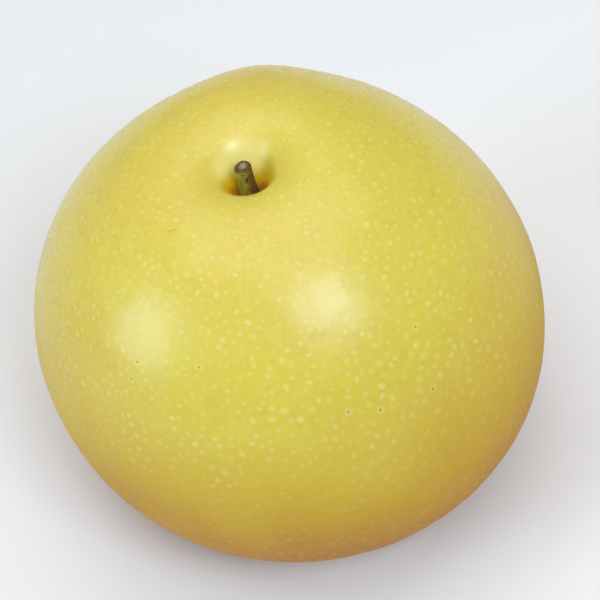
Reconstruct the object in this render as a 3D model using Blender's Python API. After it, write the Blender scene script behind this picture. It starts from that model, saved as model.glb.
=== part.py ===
"""Nashi pear: the whole fruit standing on its calyx end, and the woody stem in its stem basin.

Run it with blender --background --python part.py, or from Blender's text editor. Lengths are in
metres and +Z is up. The fruit stands on the ground at Z = 0, and its front faces -Y.
"""

import math

import bmesh
import bpy
import numpy as np

MM = 0.001

# Body: a superellipse turned about the fruit's axis, measured from its widest ring
BODY_RADIUS = 47.0 * MM
TOP_HEIGHT = 46.1 * MM  # to where the top would close if it had no stem basin
BOTTOM_HEIGHT = 41.3 * MM  # to where the bottom would close if it had no calyx basin
TOP_SQUARENESS = 1.89  # 2 is an ellipse, and more is squarer
BOTTOM_SQUARENESS = 2.46

# Swells that make the body a little out of round: waves about the axis, share of the radius, and
# the direction of a crest in degrees from +X
SWELLS = ((1, 0.0078, 199.0), (2, 0.0332, 141.0))
SWELL_FADE = 1.5  # power of the sine of the polar angle that fades a swell towards the two ends

# A low lobe on the far shoulder
LOBE_AZIMUTH = math.radians(76.0)
LOBE_POLAR = math.radians(40.0)
LOBE_HEIGHT = 1.0 * MM
LOBE_SPREAD = math.radians(13.0)

# Stem basin: a wide saddle with a narrow funnel in it, wider on its +X side
SADDLE_DEPTH = 5.5 * MM
SADDLE_RADIUS = 13.0 * MM
FUNNEL_CENTRE = (-0.2 * MM, 0.3 * MM)
FUNNEL_DEPTH = 8.0 * MM
FUNNEL_RADIUS = 4.8 * MM
FUNNEL_SKEW = 0.8 * MM
FUNNEL_STEEPNESS = 2.2

# Calyx basin underneath, with the corky ring and pit where the flower dropped off
CALYX_DEPTH = 7.5 * MM
CALYX_RADIUS = 10.5 * MM
SCAR_RADIUS = 3.2 * MM
SCAR_WIDTH = 0.9 * MM
SCAR_HEIGHT = 0.6 * MM
PIT_DEPTH = 1.2 * MM
PIT_RADIUS = 1.5 * MM

# The rim round the calyx basin is pressed this flat by the fruit's weight
REST_FLAT = 0.3 * MM

# Stem: radius and height of its outline in millimetres, from the middle of its foot to its cut tip
STEM_OUTLINE = (
    (0.0, 0.0),
    (1.0, 0.0),
    (1.8, 0.0),
    (2.0, 0.35),
    (1.88, 1.0),
    (1.72, 2.0),
    (1.6, 3.2),
    (1.55, 4.4),
    (1.56, 5.6),
    (1.62, 6.4),
    (1.66, 7.0),
    (1.57, 7.35),
    (1.3, 7.5),
    (0.95, 7.45),
    (0.5, 7.35),
    (0.0, 7.3),
)
STEM_CENTRE = (-0.2 * MM, 0.4 * MM)
STEM_LEAN = (0.35 * MM, 0.15 * MM)  # how far the tip stands off the foot
STEM_GAP = 0.4 * MM  # between the foot and the floor of the basin
STEM_FOOT_FADE = 3.5 * MM  # height over which the foot stops following the basin's floor
STEM_RIDGES = ((2, 0.035, 20.0), (3, 0.03, 75.0), (5, 0.02, 10.0))  # as SWELLS, on the stem's radius

# Mesh: the fruit's rings crowd where its surface turns quickly
FRUIT_SEGMENTS = 80
FRUIT_RINGS = 54
STEM_SEGMENTS = 28
CROWDING = (  # polar angle in degrees, spread in degrees, and how many times denser the rings are there
    (0.0, 9.0, 9.0),
    (180.0, 7.0, 5.0),
    (157.0, 6.0, 3.0),
)


def clear_scene():
    for obj in list(bpy.data.objects):
        bpy.data.objects.remove(obj, do_unlink=True)


def wave(waves, azimuth):
    """Sum of the cosine waves round an axis, as a share of the radius."""
    return sum(share * np.cos(count * (azimuth - math.radians(crest))) for count, share, crest in waves)


def superellipse(polar, height, squareness):
    """Distance from the body's centre to its surface."""
    across = (np.abs(np.sin(polar)) / BODY_RADIUS) ** squareness
    along = (np.abs(np.cos(polar)) / height) ** squareness
    return (across + along) ** (-1.0 / squareness)


def shoulder_lobe(polar, azimuth):
    cosine = math.cos(LOBE_POLAR) * np.cos(polar)
    cosine = cosine + math.sin(LOBE_POLAR) * np.sin(polar) * np.cos(azimuth - LOBE_AZIMUTH)
    apart = np.arccos(np.clip(cosine, -1.0, 1.0))
    return LOBE_HEIGHT * np.exp(-((apart / LOBE_SPREAD) ** 2))


def stem_basin(x, y):
    """Depth of the stem basin below the body."""
    saddle = SADDLE_DEPTH * np.exp(-((np.hypot(x, y) / SADDLE_RADIUS) ** 2))
    from_x = x - FUNNEL_CENTRE[0]
    from_y = y - FUNNEL_CENTRE[1]
    radius = FUNNEL_RADIUS + FUNNEL_SKEW * np.cos(np.arctan2(from_y, from_x))
    funnel = np.exp(-((np.hypot(from_x, from_y) / radius) ** FUNNEL_STEEPNESS))
    return saddle + FUNNEL_DEPTH * funnel


def calyx_basin(x, y):
    """Height of the calyx basin's floor above the body's own bottom."""
    out = np.hypot(x, y)
    floor = CALYX_DEPTH * np.exp(-((out / CALYX_RADIUS) ** 2))
    ring = SCAR_HEIGHT * np.exp(-(((out - SCAR_RADIUS) / SCAR_WIDTH) ** 2))
    pit = PIT_DEPTH * np.exp(-((out / PIT_RADIUS) ** 2))
    return floor - ring + pit


def skin(polar, azimuth):
    """Points of the fruit's surface, measured from the middle of its widest ring."""
    upper = np.cos(polar) >= 0.0
    height = np.where(upper, TOP_HEIGHT, BOTTOM_HEIGHT)
    squareness = np.where(upper, TOP_SQUARENESS, BOTTOM_SQUARENESS)
    reach = superellipse(polar, height, squareness) + shoulder_lobe(polar, azimuth)
    swell = 1.0 + wave(SWELLS, azimuth) * np.abs(np.sin(polar)) ** SWELL_FADE
    out = reach * np.sin(polar) * swell
    x = out * np.cos(azimuth)
    y = out * np.sin(azimuth)
    z = reach * np.cos(polar) + np.where(upper, -stem_basin(x, y), calyx_basin(x, y))
    return np.stack([x, y, z], axis=1)


def basin_floor(x, y):
    """Height of the stem basin's floor at a place near the axis, measured as skin measures."""
    across = (np.hypot(x, y) / BODY_RADIUS) ** TOP_SQUARENESS
    return TOP_HEIGHT * (1.0 - across) ** (1.0 / TOP_SQUARENESS) - stem_basin(x, y)


def ring_angles():
    """Polar angles of the fruit's rings, from the stem basin to the calyx."""
    fine = np.linspace(0.0, 180.0, 721)
    density = 1.0 + sum(
        (times - 1.0) * np.exp(-(((fine - centre) / spread) ** 2)) for centre, spread, times in CROWDING
    )
    passed = np.concatenate([[0.0], np.cumsum((density[1:] + density[:-1]) / 2.0)])
    return np.radians(np.interp(np.linspace(0.0, passed[-1], FRUIT_RINGS + 1), passed, fine))


def sphere_grid(segments, rings):
    """A UV sphere, with the ring number and the azimuth of each of its vertices."""
    mesh = bmesh.new()
    bmesh.ops.create_uvsphere(mesh, u_segments=segments, v_segments=rings, radius=1.0)
    unit = np.array([vertex.co[:] for vertex in mesh.verts])
    polar = np.arccos(np.clip(unit[:, 2], -1.0, 1.0))
    ring = np.rint(polar / math.pi * rings).astype(int)
    return mesh, ring, np.arctan2(unit[:, 1], unit[:, 0])


def make_object(name, mesh, points, material, collection):
    """Moves the mesh's vertices to the points and makes it one smooth-shaded object."""
    for vertex, point in zip(mesh.verts, points):
        vertex.co = point
    bmesh.ops.recalc_face_normals(mesh, faces=mesh.faces)
    data = bpy.data.meshes.new(name)
    mesh.to_mesh(data)
    mesh.free()
    data.shade_smooth()
    data.materials.append(material)
    obj = bpy.data.objects.new(name, data)
    collection.objects.link(obj)
    return obj


def make_material(name, colour, roughness):
    material = bpy.data.materials.new(name)
    material.use_nodes = True
    shader = material.node_tree.nodes["Principled BSDF"]
    shader.inputs["Base Color"].default_value = (*colour, 1.0)
    shader.inputs["Roughness"].default_value = roughness
    shader.inputs["Metallic"].default_value = 0.0
    return material


def make_fruit(collection):
    """The whole fruit as one solid, and the shift that centres it over the ground."""
    mesh, ring, azimuth = sphere_grid(FRUIT_SEGMENTS, FRUIT_RINGS)
    points = skin(ring_angles()[ring], azimuth)
    ground = points[:, 2].min() + REST_FLAT
    points[:, 2] = np.maximum(points[:, 2], ground)
    middle = (points[:, :2].min(axis=0) + points[:, :2].max(axis=0)) / 2.0
    shift = np.array([-middle[0], -middle[1], -ground])
    material = make_material("pear_skin", (0.62, 0.50, 0.10), 0.4)
    make_object("fruit", mesh, points + shift, material, collection)
    return shift


def make_stem(collection, shift):
    """The short woody stem, whose foot follows the floor of the stem basin."""
    mesh, ring, azimuth = sphere_grid(STEM_SEGMENTS, len(STEM_OUTLINE) - 1)
    outline = np.array(STEM_OUTLINE[::-1]) * MM
    radius = outline[ring, 0] * (1.0 + wave(STEM_RIDGES, azimuth))
    height = outline[ring, 1]
    share = height / outline[0, 1]
    x = STEM_CENTRE[0] + STEM_LEAN[0] * share + radius * np.cos(azimuth)
    y = STEM_CENTRE[1] + STEM_LEAN[1] * share + radius * np.sin(azimuth)
    middle = basin_floor(*STEM_CENTRE)
    follow = np.clip(1.0 - height / STEM_FOOT_FADE, 0.0, 1.0)
    z = middle + (basin_floor(x, y) - middle) * follow + height + STEM_GAP
    points = np.stack([x, y, z], axis=1) + shift
    material = make_material("stem_wood", (0.075, 0.05, 0.02), 0.75)
    stem = make_object("stem", mesh, points, material, collection)
    stem.data.set_sharp_from_angle(angle=math.radians(50.0))


def main():
    clear_scene()
    collection = bpy.data.collections.new("nashi_pear")
    bpy.context.scene.collection.children.link(collection)
    shift = make_fruit(collection)
    make_stem(collection, shift)


main()
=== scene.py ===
"""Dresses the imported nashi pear: fine speckled skin, the woody stem, and a pale studio to show it in.

The file is laid out as an add-on and is run as a script. Lengths are in metres unless a name says
otherwise, +Z is up, and the front of the fruit faces -Y.
"""

import math

import bpy
import numpy as np
from bpy.props import FloatProperty, FloatVectorProperty, IntProperty, PointerProperty
from mathutils import Matrix, Vector, kdtree, noise
from mathutils.geometry import delaunay_2d_cdt


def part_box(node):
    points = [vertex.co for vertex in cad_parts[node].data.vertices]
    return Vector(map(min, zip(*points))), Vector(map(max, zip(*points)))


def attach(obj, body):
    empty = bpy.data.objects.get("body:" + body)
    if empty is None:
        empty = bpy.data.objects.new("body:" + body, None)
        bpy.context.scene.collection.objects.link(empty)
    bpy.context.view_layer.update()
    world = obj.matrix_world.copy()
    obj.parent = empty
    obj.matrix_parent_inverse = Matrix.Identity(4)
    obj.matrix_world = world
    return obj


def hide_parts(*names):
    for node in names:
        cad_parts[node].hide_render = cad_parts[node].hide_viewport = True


bl_info = {
    "name": "Nashi pear looks",
    "version": (1, 0, 0),
    "blender": (4, 5, 0),
    "location": "View3D > Sidebar > Nashi",
    "description": "Fine speckled skin, woody stem and studio for a nashi pear",
    "category": "Object",
}

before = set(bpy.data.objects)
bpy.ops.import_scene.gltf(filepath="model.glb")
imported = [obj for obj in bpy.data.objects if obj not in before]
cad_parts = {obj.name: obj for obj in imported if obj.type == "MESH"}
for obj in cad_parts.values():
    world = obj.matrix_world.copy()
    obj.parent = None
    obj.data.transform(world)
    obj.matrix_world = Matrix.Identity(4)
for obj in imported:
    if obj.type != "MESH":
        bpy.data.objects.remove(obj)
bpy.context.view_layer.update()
FRUIT_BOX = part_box("fruit")
STEM_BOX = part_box("stem")
BODY = "root"
MM = 0.001

# Form of the fruit, in millimetres from the middle of its widest ring, as in the part's source
BODY_RADIUS = 47.0
TOP_HEIGHT = 46.1
BOTTOM_HEIGHT = 41.3
TOP_SQUARENESS = 1.89
BOTTOM_SQUARENESS = 2.46
SWELLS = ((1, 0.0078, 199.0), (2, 0.0332, 141.0))
SWELL_FADE = 1.5
LOBE_AZIMUTH = math.radians(76.0)
LOBE_POLAR = math.radians(40.0)
LOBE_HEIGHT = 1.0
LOBE_SPREAD = math.radians(13.0)
SADDLE_DEPTH = 5.5
SADDLE_RADIUS = 13.0
FUNNEL_CENTRE = (-0.2, 0.3)
FUNNEL_DEPTH = 8.0
FUNNEL_RADIUS = 4.8
FUNNEL_SKEW = 0.8
FUNNEL_STEEPNESS = 2.2
CALYX_DEPTH = 7.5
CALYX_RADIUS = 10.5
SCAR_RADIUS = 3.2
SCAR_WIDTH = 0.9
SCAR_HEIGHT = 0.6
PIT_DEPTH = 1.2
PIT_RADIUS = 1.5
REST_FLAT = 0.3

# Form of the stem, in millimetres, as in the part's source
STEM_CENTRE = (-0.2, 0.4)
STEM_LEAN = (0.35, 0.15)

# Spacing and radius of the lenticels, in millimetres, by polar angle in degrees
LENTICEL_POLAR = (0.0, 10.0, 25.0, 50.0, 85.0, 125.0, 150.0, 168.0, 180.0)
LENTICEL_SPACING = (1.35, 1.35, 1.5, 1.8, 2.2, 2.4, 1.8, 1.5, 1.5)
LENTICEL_RADIUS = (0.30, 0.42, 0.54, 0.66, 0.84, 0.86, 0.60, 0.38, 0.3)


def linear(hex_colour):
    """An sRGB hex colour as linear red, green, blue and an alpha of 1."""
    parts = [int(hex_colour[i : i + 2], 16) / 255.0 for i in (1, 3, 5)]
    low = [part / 12.92 if part <= 0.04045 else ((part + 0.055) / 1.055) ** 2.4 for part in parts]
    return (*low, 1.0)


class NashiSkinSettings(bpy.types.PropertyGroup):
    """Sizes and colours of the fruit's skin"""

    seed: IntProperty(name="Seed", description="Which arrangement of lenticels the fruit has", default=7)
    darts: IntProperty(name="Tries", description="How many places are tried for a lenticel", default=60000)
    base_spacing: FloatProperty(
        name="Mesh spacing",
        description="Distance between the mesh points between the lenticels",
        default=1.5 * MM,
        unit="LENGTH",
    )
    lenticel_height: FloatProperty(
        name="Lenticel height",
        description="How far a lenticel stands up",
        default=0.012 * MM,
        unit="LENGTH",
    )
    undulation: FloatProperty(
        name="Undulation",
        description="Height of the skin's low unevenness",
        default=0.13 * MM,
        unit="LENGTH",
    )
    yellow: FloatVectorProperty(
        name="Yellow",
        description="Main colour of the skin",
        subtype="COLOR",
        size=4,
        default=linear("#E5D25A"),
    )
    green: FloatVectorProperty(
        name="Green",
        description="Colour of the less ripe skin",
        subtype="COLOR",
        size=4,
        default=linear("#E5D353"),
    )
    gold: FloatVectorProperty(
        name="Gold",
        description="Colour of the riper skin",
        subtype="COLOR",
        size=4,
        default=linear("#E5CF58"),
    )
    # Riper skin, partly painted shade: the skin grows darker and more golden towards the bottom, where the
    # lower side is in shade
    ripe_and_shade: FloatVectorProperty(
        name="Ripe",
        description="Colour round the fruit's widest ring",
        subtype="COLOR",
        size=4,
        default=linear("#DAB51A"),
    )
    # Riper ochre skin, partly painted shade of the underside
    ochre_and_shade: FloatVectorProperty(
        name="Ochre",
        description="Colour towards the calyx",
        subtype="COLOR",
        size=4,
        default=linear("#B9791A"),
    )
    # Painted shade and warm bounce light: darker gold on the stem basin's near wall
    honey_and_shade: FloatVectorProperty(
        name="Honey",
        description="Colour of the stem basin's wall",
        subtype="COLOR",
        size=4,
        default=linear("#DDBC10"),
    )
    # Painted highlight: a pale patch on the stem basin's far left wall
    rim: FloatVectorProperty(
        name="Rim",
        description="Colour of the stem basin's upper wall",
        subtype="COLOR",
        size=4,
        default=linear("#F8EA8C"),
    )
    # Partly real russet at the stem's foot, partly painted shade deep in the stem basin
    amber_and_shade: FloatVectorProperty(
        name="Amber",
        description="Colour deep in the stem basin",
        subtype="COLOR",
        size=4,
        default=linear("#BE7208"),
    )
    lenticel: FloatVectorProperty(
        name="Lenticel",
        description="Colour of the lenticels",
        subtype="COLOR",
        size=4,
        default=linear("#F5E99C"),
    )
    # Lenticels darker low down, following the painted shade of the lower side
    low_lenticel_and_shade: FloatVectorProperty(
        name="Low lenticel",
        description="Colour of the lowest lenticels",
        subtype="COLOR",
        size=4,
        default=linear("#D8B24E"),
    )
    cork: FloatVectorProperty(
        name="Cork",
        description="Colour of the pores and scars",
        subtype="COLOR",
        size=4,
        default=linear("#6E5426"),
    )


class NashiStemSettings(bpy.types.PropertyGroup):
    """Sizes and colours of the stem"""

    radius: FloatProperty(
        name="Radius",
        description="Radius of the stem half way up",
        default=1.56 * MM,
        unit="LENGTH",
    )
    fissure: FloatProperty(
        name="Fissure depth",
        description="Depth of the bark's fissures",
        default=0.09 * MM,
        unit="LENGTH",
    )
    bark: FloatVectorProperty(
        name="Bark",
        description="Colour of the brown side",
        subtype="COLOR",
        size=4,
        default=linear("#6F541C"),
    )
    green: FloatVectorProperty(
        name="Green",
        description="Colour of the green side",
        subtype="COLOR",
        size=4,
        default=linear("#A4A536"),
    )
    collar: FloatVectorProperty(
        name="Collar",
        description="Colour of the dry band round the tip",
        subtype="COLOR",
        size=4,
        default=linear("#5C4522"),
    )
    cut: FloatVectorProperty(
        name="Cut",
        description="Colour of the dry cut face",
        subtype="COLOR",
        size=4,
        default=linear("#A28D6A"),
    )


class NashiStudioSettings(bpy.types.PropertyGroup):
    """Camera, lights and floor"""

    elevation: FloatProperty(
        name="Elevation",
        description="Camera's angle above the floor",
        subtype="ANGLE",
        default=math.radians(50.0),
    )
    roll: FloatProperty(
        name="Roll",
        description="Camera's turn about its own axis",
        subtype="ANGLE",
        default=math.radians(17.6),
    )
    distance: FloatProperty(
        name="Distance",
        description="From the camera to the fruit's middle",
        default=0.42,
        unit="LENGTH",
    )
    lens: FloatProperty(name="Lens", description="Focal length in millimetres", default=133.6)
    floor: FloatVectorProperty(
        name="Floor",
        description="Colour of the floor",
        subtype="COLOR",
        size=4,
        default=linear("#F7F7F7"),
    )


# Form

def wave(waves, azimuth):
    """Sum of the cosine waves round an axis, as a share of the radius."""
    return sum(share * np.cos(count * (azimuth - math.radians(crest))) for count, share, crest in waves)


def superellipse(polar, height, squareness):
    """Distance from the body's centre to its surface."""
    across = (np.abs(np.sin(polar)) / BODY_RADIUS) ** squareness
    along = (np.abs(np.cos(polar)) / height) ** squareness
    return (across + along) ** (-1.0 / squareness)


def shoulder_lobe(polar, azimuth):
    """Height of the low lobe on the far shoulder."""
    cosine = math.cos(LOBE_POLAR) * np.cos(polar)
    cosine = cosine + math.sin(LOBE_POLAR) * np.sin(polar) * np.cos(azimuth - LOBE_AZIMUTH)
    apart = np.arccos(np.clip(cosine, -1.0, 1.0))
    return LOBE_HEIGHT * np.exp(-((apart / LOBE_SPREAD) ** 2))


def funnel_share(x, y):
    """How deep in the funnel a place is, from 0 outside it to 1 on its floor."""
    from_x = x - FUNNEL_CENTRE[0]
    from_y = y - FUNNEL_CENTRE[1]
    radius = FUNNEL_RADIUS + FUNNEL_SKEW * np.cos(np.arctan2(from_y, from_x))
    return np.exp(-((np.hypot(from_x, from_y) / radius) ** FUNNEL_STEEPNESS))


def stem_basin(x, y):
    """Depth of the stem basin below the body."""
    saddle = SADDLE_DEPTH * np.exp(-((np.hypot(x, y) / SADDLE_RADIUS) ** 2))
    return saddle + FUNNEL_DEPTH * funnel_share(x, y)


def calyx_basin(x, y):
    """Height of the calyx basin's floor above the body's own bottom."""
    out = np.hypot(x, y)
    floor = CALYX_DEPTH * np.exp(-((out / CALYX_RADIUS) ** 2))
    ring = SCAR_HEIGHT * np.exp(-(((out - SCAR_RADIUS) / SCAR_WIDTH) ** 2))
    pit = PIT_DEPTH * np.exp(-((out / PIT_RADIUS) ** 2))
    return floor - ring + pit


def skin_form(polar, azimuth):
    """Points of the fruit's smooth surface, in millimetres from the middle of its widest ring."""
    upper = np.cos(polar) >= 0.0
    height = np.where(upper, TOP_HEIGHT, BOTTOM_HEIGHT)
    squareness = np.where(upper, TOP_SQUARENESS, BOTTOM_SQUARENESS)
    reach = superellipse(polar, height, squareness) + shoulder_lobe(polar, azimuth)
    swell = 1.0 + wave(SWELLS, azimuth) * np.abs(np.sin(polar)) ** SWELL_FADE
    out = reach * np.sin(polar) * swell
    x = out * np.cos(azimuth)
    y = out * np.sin(azimuth)
    z = reach * np.cos(polar) + np.where(upper, -stem_basin(x, y), calyx_basin(x, y))
    return np.stack([x, y, z], axis=1)


def frame_fit():
    """Scale and offset that carry the form, in millimetres, into the CAD fruit's box, in metres."""
    polar, azimuth = np.meshgrid(np.linspace(0.0, math.pi, 361), np.linspace(0.0, 2.0 * math.pi, 361))
    points = skin_form(polar.ravel(), azimuth.ravel())
    low = points.min(axis=0)
    low[2] += REST_FLAT
    high = points.max(axis=0)
    box_low = np.array(FRUIT_BOX[0])
    box_high = np.array(FRUIT_BOX[1])
    scale = (box_high - box_low) / (high - low)
    return scale, box_low - low * scale


def unit_vectors(polar, azimuth):
    return np.stack(
        [np.sin(polar) * np.cos(azimuth), np.sin(polar) * np.sin(azimuth), np.cos(polar)], axis=1
    )


def polar_azimuth(unit):
    unit = unit / np.linalg.norm(unit, axis=1, keepdims=True)
    return np.arccos(np.clip(unit[:, 2], -1.0, 1.0)), np.arctan2(unit[:, 1], unit[:, 0])


# Skin mesh

MEAN_REACH = 44.0  # millimetres from the body's middle to its skin, which turns millimetres into angles
CLOSING_POLAR = math.pi - 0.012  # the ring of points that closes on the calyx's middle
CLOSING_POINTS = 16
POLE_CLEARANCE = 0.05  # radians between that ring and the nearest lenticel
ROW_STEP = 0.87  # the step between rows as a share of the step along them, as in a grid of even triangles
CROWDING = ((0.0, 11.0, 2.6), (180.0, 12.0, 1.6))  # polar angle and spread in degrees, and how much denser

# How the lenticels differ
SPACING_SHARES = (0.6, 1.4)  # least and greatest, of the usual spacing
SIZE_LOGARITHM = (-0.03, 0.34)  # mean and spread, where 0 is the usual radius
STRETCHES = (0.85, 1.2)  # least and greatest, of an oval's length against a circle's
NEIGHBOUR_SHARE = 0.36  # largest radius, as a share of the distance to the nearest neighbour
WEAKEST = 0.25  # strength of the faintest lenticels, where 1 is the strongest
STRENGTH_POWER = 1.4  # over 1, so that most lenticels are weak
PORE_CHANCE = 0.018  # share of the lenticels with a faint pore in the middle
FAINT_PORE = 0.5  # strength of that pore, where 1 is the strongest

# Radius share, number of points and value of each ring of points across a spot
LENTICEL_RIM = ((0.0, 1, 1.0), (0.55, 6, 0.8), (1.25, 9, 0.0))
PORE_RIM = ((0.0, 1, 1.0), (0.5, 5, 0.8), (1.0, 6, 0.0))
HALO_RIM = ((0.8, 8, 0.5), (1.2, 9, 0.0))
SCAR_RIM = ((0.0, 1, 1.0), (0.6, 8, 0.8), (1.1, 14, 0.0))
RIM_WOBBLE = (0.88, 1.12)

# Pores and scars that stand out. Each row starts with an azimuth and a polar angle in degrees
PORES = (
    (-76.5, 67.8),
    (-59.0, 56.5),
    (-63.5, 70.2),
    (-83.5, 65.2),
    (-139.0, 53.5),
    (-140.0, 58.0),
    (-119.5, 50.8),
)
SCARS = (  # then half length and half width in millimetres, and direction in degrees
    (-147.0, 22.8, 0.95, 0.15, 80.0),
    (-21.5, 45.0, 0.75, 0.13, 10.0),
    (62.5, 37.5, 0.6, 0.3, 10.0),
)
PORE_RADIUS = 0.26  # millimetres, as the lengths below
HALO_SIZE = (0.75, 0.7)
PORE_REACH = 0.72
PORE_DEPTH = 0.1
PORE_STRENGTH = 0.8
HALO_STRENGTH = 0.4
SCAR_STRENGTH = 0.6
ROOM_SHARE = 1.25  # room round a pore or scar, as a share of its reach
EDGE_SHARE = 1.3  # where a lenticel ends, as a share of its radius
BASE_SHARE = 1.5  # how near the rings of points come to a spot, as a share of its radius
LAST_STEP = 0.6  # how near the last row comes to the closing ring, in steps between rows
NOISE_SHIFT = (17.3, 5.1, -9.7)  # sets the noise of one seed apart from the next one's

CALYX_CORK_RADIUS = 6.0  # millimetres
BASIN_FADE = 2.5  # how soon the lenticels fade out down the stem basin
PORELESS_HOLLOW = 0.1  # where the hollow value is above this there are no pores
UNDULATIONS = ((0.6, 9.0, 1), (0.4, 4.0, 2))  # share of the height, width in millimetres, and seed
RELIEF_FADE = 3.0  # millimetres above the ground over which the relief grows to its full height


def scatter_lenticels(settings):
    """Unit vectors and radii, in millimetres, of lenticels thrown like darts that keep their distance."""
    random = np.random.default_rng(settings.seed)
    height = random.uniform(-1.0, 1.0, settings.darts)
    azimuth = random.uniform(-math.pi, math.pi, settings.darts)
    polar = np.arccos(height)
    keep_clear = random.uniform(*SPACING_SHARES, settings.darts)
    size = np.exp(random.normal(*SIZE_LOGARITHM, settings.darts))
    degrees = np.degrees(polar)
    apart = np.interp(degrees, LENTICEL_POLAR, LENTICEL_SPACING) * keep_clear / MEAN_REACH
    darts = unit_vectors(polar, azimuth)
    placed = np.empty_like(darts)
    chosen = []
    for index in range(settings.darts):
        if chosen:
            gaps = placed[: len(chosen)] - darts[index]
            if np.einsum("ij,ij->i", gaps, gaps).min() < apart[index] ** 2:
                continue
        if polar[index] > CLOSING_POLAR - POLE_CLEARANCE:
            continue
        placed[len(chosen)] = darts[index]
        chosen.append(index)
    unit = darts[chosen]
    radius = np.interp(degrees[chosen], LENTICEL_POLAR, LENTICEL_RADIUS) * size[chosen]
    return unit, np.minimum(radius, NEIGHBOUR_SHARE * nearest_distance(unit)), random


def search_tree(unit):
    tree = kdtree.KDTree(len(unit))
    for index, point in enumerate(unit):
        tree.insert(point, index)
    tree.balance()
    return tree


def nearest_distance(unit):
    """Distance in millimetres from each unit vector to its nearest neighbour."""
    tree = search_tree(unit)
    return np.array([tree.find_n(point, 2)[1][2] for point in unit]) * MEAN_REACH


def places(table):
    """Unit vectors of the places in a table of pores or scars."""
    degrees = np.array([row[:2] for row in table])
    return unit_vectors(np.radians(degrees[:, 1]), np.radians(degrees[:, 0]))


def spot(centre, long, wide, turn, rim, strength, random):
    """Rings of points round a spot, from its middle outwards, and the value at each."""
    side = np.cross(centre, (0.0, 0.0, 1.0) if abs(centre[2]) < 0.9 else (1.0, 0.0, 0.0))
    side /= np.linalg.norm(side)
    other = np.cross(centre, side)
    points, values = [], []
    for share, count, value in rim:
        for step in range(count):
            angle = 2.0 * math.pi * step / count
            reach = share * random.uniform(*RIM_WOBBLE) / MEAN_REACH
            along = reach * long * math.cos(angle)
            across = reach * wide * math.sin(angle)
            u = along * math.cos(turn) - across * math.sin(turn)
            v = along * math.sin(turn) + across * math.cos(turn)
            points.append(centre + side * u + other * v)
            values.append(value * strength)
    return points, values


def lenticel_spots(unit, radius, random):
    """Points of the lenticels, and how pale and how corky each point is."""
    points, pale, corky = [], [], []
    for centre, size in zip(unit, radius):
        stretch = random.uniform(*STRETCHES)
        turn = random.uniform(0.0, math.pi)
        strength = WEAKEST + (1.0 - WEAKEST) * random.uniform() ** STRENGTH_POWER
        pore = FAINT_PORE if random.uniform() < PORE_CHANCE else 0.0
        rings, values = spot(centre, size * stretch, size / stretch, turn, LENTICEL_RIM, strength, random)
        points += rings
        pale += values
        corky += [pore] + [0.0] * (len(values) - 1)
    return points, pale, corky


def pore_spots(unit, random):
    """Points of the dark pores and their pale halos, as lenticel_spots gives them."""
    points, pale, corky = [], [], []
    for centre in unit:
        rings, values = spot(centre, PORE_RADIUS, PORE_RADIUS, 0.0, PORE_RIM, PORE_STRENGTH, random)
        halo, halo_values = spot(centre, *HALO_SIZE, 0.0, HALO_RIM, 1.0, random)
        points += rings + halo
        pale += [HALO_STRENGTH] * len(rings) + halo_values
        corky += values + [0.0] * len(halo)
    return points, pale, corky


def scar_spots(unit, random):
    """Points of the scars, as lenticel_spots gives them."""
    points, corky = [], []
    for centre, (_, _, long, wide, turn) in zip(unit, SCARS):
        rings, values = spot(centre, long, wide, math.radians(turn), SCAR_RIM, SCAR_STRENGTH, random)
        points += rings
        corky += values
    return points, [0.0] * len(points), corky


def all_spots(settings):
    """Points of every spot, how pale and how corky each point is, and the spots' middles and sizes."""
    unit, radius, random = scatter_lenticels(settings)
    pores = places(PORES)
    scars = places(SCARS)
    clear = np.concatenate([pores, scars])
    reach = np.array([PORE_REACH] * len(PORES) + [scar[2] for scar in SCARS])
    apart = np.linalg.norm(unit[:, None] - clear[None], axis=2) * MEAN_REACH
    keep = (apart > ROOM_SHARE * reach[None] + EDGE_SHARE * radius[:, None]).all(axis=1)
    unit, radius = unit[keep], radius[keep]
    groups = (
        lenticel_spots(unit, radius, random),
        pore_spots(pores, random),
        scar_spots(scars, random),
    )
    points, pale, corky = (np.concatenate(parts) for parts in zip(*groups))
    return points, pale, corky, np.concatenate([unit, clear]), np.concatenate([radius, reach])


def base_points(settings, unit, radius):
    """Rings of points over the whole fruit, crowded in the basins, that keep clear of the spots."""
    spacing = settings.base_spacing / MM / MEAN_REACH
    points = [(0.0, 0.0, 1.0)]
    polar = 0.0
    row = 0
    while True:
        degrees = math.degrees(polar)
        denser = 1.0 + sum(
            extra * math.exp(-(((degrees - centre) / spread) ** 2)) for centre, spread, extra in CROWDING
        )
        step = spacing / denser
        polar += step
        if polar > CLOSING_POLAR - LAST_STEP * step:
            break
        count = max(8, round(2.0 * math.pi * math.sin(polar) / step * ROW_STEP))
        azimuth = (np.arange(count) + 0.5 * (row % 2)) * 2.0 * math.pi / count
        points.extend(unit_vectors(np.full(count, polar), azimuth))
        row += 1
    tree = search_tree(unit)
    kept = []
    for point in points:
        _, index, gap = tree.find(point)
        if gap * MEAN_REACH > BASE_SHARE * radius[index]:
            kept.append(point)
    azimuth = np.arange(CLOSING_POINTS) * 2.0 * math.pi / CLOSING_POINTS
    closing = unit_vectors(np.full(CLOSING_POINTS, CLOSING_POLAR), azimuth)
    return np.concatenate([np.array(kept), closing])


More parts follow.
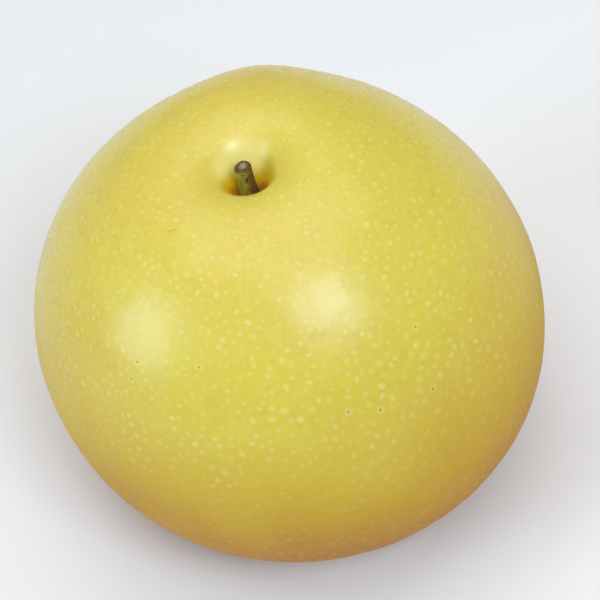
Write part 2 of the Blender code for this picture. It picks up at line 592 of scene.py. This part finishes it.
def triangulate(unit):
    """Triangles over points on the unit sphere. The last point is the calyx's middle, which closes them.

    A stereographic projection keeps circles as circles, so a flat Delaunay triangulation is right.
    """
    unit = unit / np.linalg.norm(unit, axis=1, keepdims=True)
    flat = unit[:-1, :2] / (1.0 + unit[:-1, 2:3])
    triangles = np.array(delaunay_2d_cdt([Vector(point) for point in flat], [], [], 0, 1e-9)[2])
    ends = np.concatenate([triangles[:, [0, 1]], triangles[:, [1, 2]], triangles[:, [2, 0]]])
    _, index, count = np.unique(np.sort(ends, axis=1), axis=0, return_inverse=True, return_counts=True)
    rim = ends[count[index.reshape(-1)] == 1]
    last = np.full(len(rim), len(unit) - 1)
    return np.concatenate([triangles, np.stack([rim[:, 1], rim[:, 0], last], axis=1)])


def mesh_from(name, points, triangles, attributes, material):
    """A smooth-shaded object with the values that its material reads at each point."""
    data = bpy.data.meshes.new(name)
    data.from_pydata(points.tolist(), [], triangles.tolist())
    data.validate()
    for key, values in attributes.items():
        data.attributes.new(key, "FLOAT", "POINT").data.foreach_set("value", values.astype(np.float32))
    data.shade_smooth()
    data.materials.append(material)
    obj = bpy.data.objects.new(name, data)
    bpy.context.scene.collection.objects.link(obj)
    return obj


def vertex_normals(points, triangles):
    corners = points[triangles]
    normal = np.cross(corners[:, 1] - corners[:, 0], corners[:, 2] - corners[:, 0])
    total = np.zeros_like(points)
    for corner in range(3):
        np.add.at(total, triangles[:, corner], normal)
    return total / np.linalg.norm(total, axis=1, keepdims=True)


def noise_at(points, width, seed):
    """Smooth noise from about -1 to 1 at points in metres, with features this many millimetres wide."""
    shift = Vector(NOISE_SHIFT) * seed
    return np.array([noise.noise(Vector(point) / (width * MM) + shift) for point in points])


def skin_relief(settings, points, pale, corky):
    """Height of the skin's relief in metres. It fades out towards the ground, where the fruit is flat."""
    uneven = sum(share * noise_at(points, width, seed) for share, width, seed in UNDULATIONS)
    relief = pale * settings.lenticel_height - corky * PORE_DEPTH * MM + uneven * settings.undulation
    above_ground = (points[:, 2] - FRUIT_BOX[0].z) / (RELIEF_FADE * MM)
    return relief * np.clip(above_ground, 0.0, 1.0)


class NASHI_OT_fruit(bpy.types.Operator):
    """Make the fruit's fine skin, with its lenticels, around the CAD fruit"""

    bl_idname = "nashi.fruit"
    bl_label = "Make the fruit"

    def execute(self, context):
        settings = context.scene.nashi_skin
        spots, pale, corky, centres, sizes = all_spots(settings)
        base = base_points(settings, centres, sizes)
        plain = np.zeros(len(base) + 1)
        unit = np.concatenate([spots, base, [(0.0, 0.0, -1.0)]])
        triangles = triangulate(unit)
        form = skin_form(*polar_azimuth(unit))
        upper = form[:, 2] > 0.0
        hollow = funnel_share(form[:, 0], form[:, 1]) * upper
        out = np.hypot(form[:, 0], form[:, 1])
        calyx = np.exp(-((out / CALYX_CORK_RADIUS) ** 2)) * ~upper
        pale = np.concatenate([pale, plain]) * np.clip(1.0 - BASIN_FADE * hollow, 0.0, 1.0)
        corky = np.concatenate([corky, plain]) * (hollow < PORELESS_HOLLOW)
        scale, offset = frame_fit()
        points = form * scale + offset
        relief = skin_relief(settings, points, pale, corky)
        points += vertex_normals(points, triangles) * relief[:, None]
        points[:, 2] = np.maximum(points[:, 2], FRUIT_BOX[0].z)
        attributes = {"lenticel": pale, "pore": corky, "hollow": hollow, "calyx": calyx}
        fruit = mesh_from("fruit_skin", points, triangles, attributes, skin_material(settings))
        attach(fruit, BODY)
        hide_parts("fruit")
        return {"FINISHED"}


# Materials

MIX_A, MIX_B, MIX_OUT = 6, 7, 2  # sockets of a Mix node that mixes colours


def add(tree, kind, inputs=None, **options):
    """Adds a node and gives back its outputs.

    An input is given by its name or number, as a value or as the output that feeds it.
    """
    node = tree.nodes.new(kind)
    for name, value in options.items():
        setattr(node, name, value)
    for key, value in (inputs or {}).items():
        if isinstance(value, bpy.types.NodeSocket):
            tree.links.new(value, node.inputs[key])
        else:
            node.inputs[key].default_value = value
    return node.outputs


def new_material(name):
    """A material with an empty node tree, and each place on its object in millimetres."""
    material = bpy.data.materials.new(name)
    material.use_nodes = True
    tree = material.node_tree
    tree.nodes.clear()
    place = add(tree, "ShaderNodeTexCoord")["Object"]
    in_mm = add(tree, "ShaderNodeVectorMath", {0: place, "Scale": 1.0 / MM}, operation="SCALE")[0]
    return material, tree, in_mm


def paint(tree, colour, coats):
    """Lays coats of colour over a colour.

    Each coat has a guide value, the two values of it where the coat begins and is full, and its colour.
    """
    for guide, begin, full, coat in coats:
        limits = {"Value": guide, "From Min": begin, "From Max": full}
        share = add(tree, "ShaderNodeMapRange", limits, interpolation_type="SMOOTHSTEP")[0]
        mix = {0: share, MIX_A: colour, MIX_B: coat}
        colour = add(tree, "ShaderNodeMix", mix, data_type="RGBA")[MIX_OUT]
    return colour


SKIN_VALUES = ("lenticel", "pore", "hollow", "calyx")  # held by the mesh at its points
# Width in millimetres and detail of the green and gold patches, the mottle over them and the peel's grain
SKIN_PATTERNS = ((30.0, 2.0), (3.0, 3.0), (1.2, 4.0))
RIPE_SWAY = 24.0  # how far the patches carry the riper colours and the painted shade of the lower side up and down, in millimetres
NEARER, LEFTER, RIGHTER = -0.12, -0.03, 0.05  # how the basin's painted shade, its painted highlight and its dullness grow to a side, per millimetre
LENTICEL_COVER = 0.56
MOTTLE_SHADES = (0.97, 1.03)
WAX_ROUGHNESS = (0.19, 0.37)
LOW_SKIN = (62.0, 34.0)  # heights in millimetres between which the wax gets duller
LOW_DULLNESS = 0.36
BASIN_DULLNESS = 0.45
LENTICEL_DULLNESS = 0.1
PEEL_HEIGHT = 0.04  # millimetres


def basin_sides(tree, hollow, parts):
    """How deep a place is in the stem basin, by side: the near left, the near right and the far left."""
    near = {0: parts["Y"], 1: NEARER, 2: 1.0}
    nearness = add(tree, "ShaderNodeMath", near, operation="MULTIPLY_ADD")[0]
    sides = []
    # the near left share places painted shade, the near right share a duller wax
    for slope in (LEFTER, RIGHTER):
        aside = {0: parts["X"], 1: slope, 2: nearness}
        share = add(tree, "ShaderNodeMath", aside, operation="MULTIPLY_ADD")[0]
        sides.append(add(tree, "ShaderNodeMath", {0: hollow, 1: share}, operation="MULTIPLY")[0])
    # the far left share places the painted highlight
    far_left_highlight = add(tree, "ShaderNodeMath", {0: hollow, 1: sides[1]}, operation="SUBTRACT")[0]
    return (*sides, far_left_highlight)


def skin_material(settings):
    """Waxy pear skin: living skin under a thin natural wax, which gives broad, soft, frosted highlights."""
    material, tree, in_mm = new_material("waxy_pear_skin")
    parts = add(tree, "ShaderNodeSeparateXYZ", {0: in_mm})
    height = parts["Z"]
    lenticel, pore, hollow, calyx = (
        add(tree, "ShaderNodeAttribute", attribute_name=name)["Fac"] for name in SKIN_VALUES
    )
    patches, mottle, peel = (
        add(tree, "ShaderNodeTexNoise", {"Vector": in_mm, "Scale": 1.0 / width, "Detail": detail})["Fac"]
        for width, detail in SKIN_PATTERNS
    )
    near_left_shade, near_right, far_left_highlight = basin_sides(tree, hollow, parts)
    swayed = {0: patches, 1: RIPE_SWAY, 2: height}
    wavy = add(tree, "ShaderNodeMath", swayed, operation="MULTIPLY_ADD")[0]

    coats = (  # guide, its values where the coat begins and is full, and colour. wavy is in millimetres
        (patches, 0.46, 0.62, settings.green),
        (patches, 0.52, 0.36, settings.gold),
        # the next two coats darken the skin towards the bottom: partly riper skin, partly painted shade of
        # the lower side
        (wavy, 84.0, 52.0, settings.ripe_and_shade),
        (wavy, 62.0, 28.0, settings.ochre_and_shade),
        # painted highlight on the stem basin's far left wall
        (far_left_highlight, 0.0, 0.18, settings.rim),
        # the next two coats: painted shade and warm bounce light in the basin's near side, with real russet
        # deep at the stem's foot
        (near_left_shade, 0.22, 0.5, settings.honey_and_shade),
        (near_left_shade, 0.5, 0.74, settings.amber_and_shade),
    )
    colour = paint(tree, settings.yellow, coats)
    # the lenticels darken low down with that painted shade
    lenticel_colour = paint(tree, settings.lenticel, ((wavy, 76.0, 44.0, settings.low_lenticel_and_shade),))
    covered = add(tree, "ShaderNodeMath", {0: lenticel, 1: LENTICEL_COVER}, operation="MULTIPLY")[0]
    corky = add(tree, "ShaderNodeMath", {0: pore, 1: calyx}, operation="MAXIMUM")[0]
    for share, other in ((covered, lenticel_colour), (corky, settings.cork)):
        mix = {0: share, MIX_A: colour, MIX_B: other}
        colour = add(tree, "ShaderNodeMix", mix, data_type="RGBA")[MIX_OUT]
    shades = {"Value": mottle, "To Min": MOTTLE_SHADES[0], "To Max": MOTTLE_SHADES[1]}
    shade = add(tree, "ShaderNodeMapRange", shades)[0]
    colour = add(tree, "ShaderNodeVectorMath", {0: colour, "Scale": shade}, operation="SCALE")[0]

    waxes = {"Value": mottle, "To Min": WAX_ROUGHNESS[0], "To Max": WAX_ROUGHNESS[1]}
    rough = add(tree, "ShaderNodeMapRange", waxes)[0]
    lowness = {"Value": height, "From Min": LOW_SKIN[0], "From Max": LOW_SKIN[1]}
    low = add(tree, "ShaderNodeMapRange", lowness, interpolation_type="SMOOTHSTEP")[0]
    for guide, extra in ((low, LOW_DULLNESS), (near_right, BASIN_DULLNESS), (lenticel, LENTICEL_DULLNESS)):
        rough = add(tree, "ShaderNodeMath", {0: guide, 1: extra, 2: rough}, operation="MULTIPLY_ADD")[0]
    bump = {"Height": peel, "Distance": PEEL_HEIGHT * MM, "Strength": 0.1}
    finish = {
        "Base Color": colour,
        "Roughness": rough,
        "IOR": 1.5,
        "Subsurface Weight": 0.4,
        "Subsurface Radius": (1.0, 0.7, 0.2),
        "Subsurface Scale": 1.2 * MM,
        "Normal": add(tree, "ShaderNodeBump", bump)[0],
    }
    shader = add(tree, "ShaderNodeBsdfPrincipled", finish)[0]
    add(tree, "ShaderNodeOutputMaterial", {"Surface": shader})
    return material


# Stem

STEM_SEGMENTS = 96
STEM_ROWS = 110
CUT_ROWS = 12
CUT_EDGE = 0.94  # radius share of the outermost row of the cut face
STEM_PROFILE = (  # share of the height and radius share, from the foot to the cut edge
    (-0.15, 1.55),
    (0.0, 1.3),
    (0.12, 1.2),
    (0.28, 1.08),
    (0.45, 1.01),
    (0.62, 0.99),
    (0.78, 0.98),
    (0.9, 0.99),
    (0.965, 0.96),
    (1.0, 0.84),
)
STEM_RIDGES = (  # as SWELLS, on the stem's radius
    (2, 0.035, math.degrees(0.35)),
    (3, 0.03, math.degrees(1.3)),
    (5, 0.02, math.degrees(0.17)),
)
FLOOR_POLAR = 0.004  # where the basin's floor is measured, in radians from the fruit's axis

# The bark's noise is read on a plain cylinder, and stretched along the stem. Lengths are in millimetres
BARK_CYLINDER = (1.5, 2.2)  # radius and height
FISSURE_WIDTH = 0.42
FISSURE_GAIN = 1.6
LUMP_WIDTH = 1.3
LUMP_SHARE = 0.035
LUMP_SQUEEZE = 2.5
DISH_DEPTH = 0.22
CRUMB_WIDTH = 0.5
CRUMB_HEIGHT = 0.09
TIP_MARGIN = 0.06  # keeps the crumbs inside the CAD stem's box

# Where the stem's colours lie: directions from +X in degrees, and shares of its height or radius
GREEN_SIDE = 190.0
COLLAR_START = 0.9
COLLAR_FADE = 0.07
COLLAR_LUMPS = 0.04
COLLAR_TILT = 0.03
COLLAR_SIDE = 250.0
CUT_SPOT = (0.05, 0.1)
CUT_SPOT_RADIUS = 0.62
CUT_SPOT_FADE = 0.3
SHADED_FOOT = 0.5  # below this share of the height the bark is darker: painted shade down in the stem basin

STEM_VALUES = ("green_side", "cut", "collar", "groove")  # held by the mesh at its points
STEM_PATTERNS = ((0.9, 4.0), (0.25, 3.0))  # blotches and flecks: width in millimetres and detail
FLECK_HEIGHT = 0.05  # millimetres
BLOTCH_SWAY = 1.2  # how far the blotches carry the green over its edge
GREEN_EDGE = (0.95, 1.4)
BLOTCHED_CUT = (0.34, 0.5)  # where the blotches let the cut's colour through
PALE_FLECKS = (0.6, 0.72)
PALE_FLECK_COVER = 0.4
FLECK_RANGE = (0.3, 0.7)
FLECK_SHADES = (0.6, 1.5)
GROOVE_SHADE = -0.55


def stem_material(settings):
    """Fresh woody stalk: fissured bark, which breaks the light up into dull flecks, with a dry cut tip.

    It is brown on one side and green on the other.
    """
    material, tree, in_mm = new_material("fissured_stalk_bark")
    green, cut, collar, groove = (
        add(tree, "ShaderNodeAttribute", attribute_name=name)["Fac"] for name in STEM_VALUES
    )
    blotch, fleck = (
        add(tree, "ShaderNodeTexNoise", {"Vector": in_mm, "Scale": 1.0 / width, "Detail": detail})["Fac"]
        for width, detail in STEM_PATTERNS
    )
    blotchy = add(tree, "ShaderNodeMath", {0: blotch, 1: BLOTCH_SWAY, 2: green}, operation="MULTIPLY_ADD")[0]
    greenness = {"Value": blotchy, "From Min": GREEN_EDGE[0], "From Max": GREEN_EDGE[1]}
    green_share = add(tree, "ShaderNodeMapRange", greenness)[0]
    stains = [(green_share, settings.green), (collar, settings.collar)]
    for guide, limit, cover in ((blotch, BLOTCHED_CUT, cut), (fleck, PALE_FLECKS, PALE_FLECK_COVER)):
        limits = {"Value": guide, "From Min": limit[0], "From Max": limit[1]}
        share = add(tree, "ShaderNodeMapRange", limits, interpolation_type="SMOOTHSTEP")[0]
        covered = add(tree, "ShaderNodeMath", {0: share, 1: cover}, operation="MULTIPLY")[0]
        stains.append((covered, settings.cut))
    colour = settings.bark
    for share, other in stains:
        mix = {0: share, MIX_A: colour, MIX_B: other}
        colour = add(tree, "ShaderNodeMix", mix, data_type="RGBA")[MIX_OUT]

    shades = {
        "Value": fleck,
        "From Min": FLECK_RANGE[0],
        "From Max": FLECK_RANGE[1],
        "To Min": FLECK_SHADES[0],
        "To Max": FLECK_SHADES[1],
    }
    shade = add(tree, "ShaderNodeMapRange", shades)[0]
    # painted shade: darker in the bark's fissures and low on the stem, down in the basin
    shade = add(tree, "ShaderNodeMath", {0: groove, 1: GROOVE_SHADE, 2: shade}, operation="MULTIPLY_ADD")[0]
    bump = {"Height": fleck, "Distance": FLECK_HEIGHT * MM, "Strength": 0.7}
    finish = {
        "Base Color": add(tree, "ShaderNodeVectorMath", {0: colour, "Scale": shade}, operation="SCALE")[0],
        "Roughness": 0.75,
        "IOR": 1.45,
        "Normal": add(tree, "ShaderNodeBump", bump)[0],
    }
    shader = add(tree, "ShaderNodeBsdfPrincipled", finish)[0]
    add(tree, "ShaderNodeOutputMaterial", {"Surface": shader})
    return material


def stem_form(settings):
    """Points of the stem and its material's values at them.

    The points run row by row from the foot to the middle of the cut. The last one is the middle of the foot.
    """
    scale, offset = frame_fit()
    floor = skin_form(np.array([FLOOR_POLAR]), np.zeros(1))[0, 2] * scale[2] + offset[2]
    tall = STEM_BOX[1].z - floor
    profile = np.array(STEM_PROFILE)
    row_rise = np.concatenate([np.linspace(profile[0, 0], 1.0, STEM_ROWS), np.ones(CUT_ROWS)])
    row_inward = np.concatenate([np.ones(STEM_ROWS), np.linspace(CUT_EDGE, 0.0, CUT_ROWS)])
    rise = np.repeat(row_rise, STEM_SEGMENTS)
    inward = np.repeat(row_inward, STEM_SEGMENTS)
    turn = np.tile(np.arange(STEM_SEGMENTS) * 2.0 * math.pi / STEM_SEGMENTS, len(row_rise))
    on_cut = inward < 1.0

    round_bark, along_bark = BARK_CYLINDER
    probe = np.stack([np.cos(turn) * round_bark, np.sin(turn) * round_bark, rise * along_bark], axis=1) * MM
    groove = np.clip(noise_at(probe, FISSURE_WIDTH, 3) * FISSURE_GAIN, 0.0, 1.0) * ~on_cut
    lump = noise_at(probe * np.array([1.0, 1.0, LUMP_SQUEEZE]), LUMP_WIDTH, 4)
    out = settings.radius * np.interp(rise, profile[:, 0], profile[:, 1]) * inward
    out = out * (1.0 + wave(STEM_RIDGES, turn) + LUMP_SHARE * lump) - settings.fissure * groove
    centre_x = (STEM_CENTRE[0] + STEM_LEAN[0] * rise) * MM + offset[0]
    centre_y = (STEM_CENTRE[1] + STEM_LEAN[1] * rise) * MM + offset[1]
    x = centre_x + out * np.cos(turn)
    y = centre_y + out * np.sin(turn)
    dish = DISH_DEPTH * (1.0 - inward) + TIP_MARGIN
    crumbs = CRUMB_HEIGHT * noise_at(np.stack([x, y, np.zeros_like(x)], axis=1), CRUMB_WIDTH, 5) * on_cut
    z = floor + tall * rise + (crumbs - dish) * MM
    foot = (centre_x[0], centre_y[0], z[0])
    points = np.append(np.stack([x, y, z], axis=1), [foot], axis=0)

    ragged = COLLAR_START + COLLAR_LUMPS * lump + COLLAR_TILT * np.cos(turn - math.radians(COLLAR_SIDE))
    spot_x = inward * np.cos(turn) - CUT_SPOT[0]
    spot_y = inward * np.sin(turn) - CUT_SPOT[1]
    cut = np.clip((CUT_SPOT_RADIUS - np.hypot(spot_x, spot_y)) / CUT_SPOT_FADE, 0.0, 1.0)
    values = {
        "green_side": 0.5 + 0.5 * np.cos(turn - math.radians(GREEN_SIDE)),
        "cut": cut * on_cut,
        "collar": np.clip((rise - ragged) / COLLAR_FADE, 0.0, 1.0),
        # painted shade of the fissures and of the foot in the basin
        "groove": groove + np.clip(SHADED_FOOT - rise, 0.0, SHADED_FOOT),
    }
    return points, {name: np.append(value, 0.0) for name, value in values.items()}


def stem_triangles(rows):
    """Triangles between the rows of points, and under the foot to a last point in its middle."""
    triangles = []
    for row in range(rows - 1):
        for col in range(STEM_SEGMENTS):
            a = row * STEM_SEGMENTS + col
            b = row * STEM_SEGMENTS + (col + 1) % STEM_SEGMENTS
            triangles.append((a, b, b + STEM_SEGMENTS))
            triangles.append((a, b + STEM_SEGMENTS, a + STEM_SEGMENTS))
    foot = rows * STEM_SEGMENTS
    triangles += [(foot, (col + 1) % STEM_SEGMENTS, col) for col in range(STEM_SEGMENTS)]
    return np.array(triangles)


class NASHI_OT_stem(bpy.types.Operator):
    """Make the fissured woody stem that stands in the stem basin"""

    bl_idname = "nashi.stem"
    bl_label = "Make the stem"

    def execute(self, context):
        settings = context.scene.nashi_stem
        points, values = stem_form(settings)
        triangles = stem_triangles(STEM_ROWS + CUT_ROWS)
        stem = mesh_from("stem_wood", points, triangles, values, stem_material(settings))
        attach(stem, BODY)
        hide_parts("stem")
        return {"FINISHED"}


# Stage

COOL_LIGHT = (0.72, 0.86, 1.0)
WARM_LIGHT = (1.0, 0.96, 0.91)
SOFT_LIGHTS = (  # name, direction from the fruit, distance, size, power and colour
    ("front_softbox", (0.262, -0.612, 0.746), 0.9, 0.32, 3.5, COOL_LIGHT),
    ("left_softbox", (-0.907, -0.148, 0.395), 1.8, 0.76, 10.4, COOL_LIGHT),
    ("overhead_sheet", (0.08, 0.1, 0.99), 1.2, 1.4, 9.5, WARM_LIGHT),
)
WORLD_STRENGTH = 0.2
FLOOR_SIDE = 6.0
TEETH_PER_MM = 0.9
TOOTH_HEIGHT = 0.05  # millimetres
IMAGE_SIDE = 600.0
SENSOR_WIDTH = 36.0
FRUIT_PIXEL = (288.1, 309.7)  # where the middle of the fruit's widest ring stands in the picture


def floor_material(settings):
    """Matt painted board: an even pale surface with a faint tooth, which gives no highlight."""
    material, tree, in_mm = new_material("matt_painted_board")
    pattern = {"Vector": in_mm, "Scale": TEETH_PER_MM, "Detail": 2.0}
    tooth = add(tree, "ShaderNodeTexNoise", pattern)["Fac"]
    bump = {"Height": tooth, "Distance": TOOTH_HEIGHT * MM, "Strength": 0.2}
    finish = {
        "Base Color": settings.floor,
        "Roughness": 0.9,
        "Specular IOR Level": 0.0,
        "Normal": add(tree, "ShaderNodeBump", bump)[0],
    }
    shader = add(tree, "ShaderNodeBsdfPrincipled", finish)[0]
    add(tree, "ShaderNodeOutputMaterial", {"Surface": shader})
    return material


def add_floor(settings):
    bpy.ops.mesh.primitive_plane_add(size=FLOOR_SIDE, location=(0.0, 0.0, FRUIT_BOX[0].z))
    floor = bpy.context.object
    floor.name = "floor"
    floor.data.materials.append(floor_material(settings))


def add_lights(scene, middle):
    """Soft lights that face the fruit's middle."""
    for name, direction, distance, size, power, colour in SOFT_LIGHTS:
        data = bpy.data.lights.new(name, "AREA")
        data.shape = "SQUARE"
        data.size = size
        data.energy = power
        data.color = colour
        light = bpy.data.objects.new(name, data)
        toward = Vector(direction).normalized()
        light.location = middle + toward * distance
        light.rotation_euler = toward.to_track_quat("Z", "Y").to_euler()
        scene.collection.objects.link(light)


def add_world(scene):
    world = bpy.data.worlds.new("pale_studio")
    world.use_nodes = True
    background = world.node_tree.nodes["Background"]
    background.inputs["Color"].default_value = (1.0, 1.0, 1.0, 1.0)
    background.inputs["Strength"].default_value = WORLD_STRENGTH
    scene.world = world
    scene.view_settings.view_transform = "Standard"


def add_camera(settings, scene, middle):
    """A camera in front of the fruit that shows its middle at its place in the picture."""
    data = bpy.data.cameras.new("camera")
    data.sensor_width = SENSOR_WIDTH
    data.lens = settings.lens
    camera = bpy.data.objects.new("camera", data)
    scene.collection.objects.link(camera)
    forward = Vector((0.0, math.cos(settings.elevation), -math.sin(settings.elevation)))
    level_right = Vector((1.0, 0.0, 0.0))
    level_up = level_right.cross(forward)
    right = level_right * math.cos(settings.roll) - level_up * math.sin(settings.roll)
    up = level_right * math.sin(settings.roll) + level_up * math.cos(settings.roll)
    pixels = data.lens / SENSOR_WIDTH * IMAGE_SIDE
    aside = (IMAGE_SIDE / 2.0 - FRUIT_PIXEL[0]) / pixels * settings.distance
    above = (FRUIT_PIXEL[1] - IMAGE_SIDE / 2.0) / pixels * settings.distance
    place = Matrix((right, up, -forward)).transposed().to_4x4()
    place.translation = middle - forward * settings.distance + right * aside + up * above
    camera.matrix_world = place
    scene.camera = camera


class NASHI_OT_stage(bpy.types.Operator):
    """Make the pale floor, the soft lights and the camera"""

    bl_idname = "nashi.stage"
    bl_label = "Make the stage"

    def execute(self, context):
        settings = context.scene.nashi_studio
        middle = Vector(frame_fit()[1])
        add_floor(settings)
        add_lights(context.scene, middle)
        add_world(context.scene)
        add_camera(settings, context.scene, middle)
        return {"FINISHED"}


class NASHI_PT_panel(bpy.types.Panel):
    """Lists the pear's pieces"""

    bl_label = "Nashi pear"
    bl_space_type = "VIEW_3D"
    bl_region_type = "UI"
    bl_category = "Nashi"

    def draw(self, context):
        for operator in OPERATORS:
            self.layout.operator(operator.bl_idname)


OPERATORS = (NASHI_OT_fruit, NASHI_OT_stem, NASHI_OT_stage)
CLASSES = (NashiSkinSettings, NashiStemSettings, NashiStudioSettings, *OPERATORS, NASHI_PT_panel)


def register():
    for each in CLASSES:
        bpy.utils.register_class(each)
    bpy.types.Scene.nashi_skin = PointerProperty(type=NashiSkinSettings)
    bpy.types.Scene.nashi_stem = PointerProperty(type=NashiStemSettings)
    bpy.types.Scene.nashi_studio = PointerProperty(type=NashiStudioSettings)


def unregister():
    del bpy.types.Scene.nashi_skin
    del bpy.types.Scene.nashi_stem
    del bpy.types.Scene.nashi_studio
    for each in reversed(CLASSES):
        bpy.utils.unregister_class(each)


def main():
    register()
    bpy.ops.nashi.fruit()
    bpy.ops.nashi.stem()
    bpy.ops.nashi.stage()


if __name__ == "__main__":
    main()
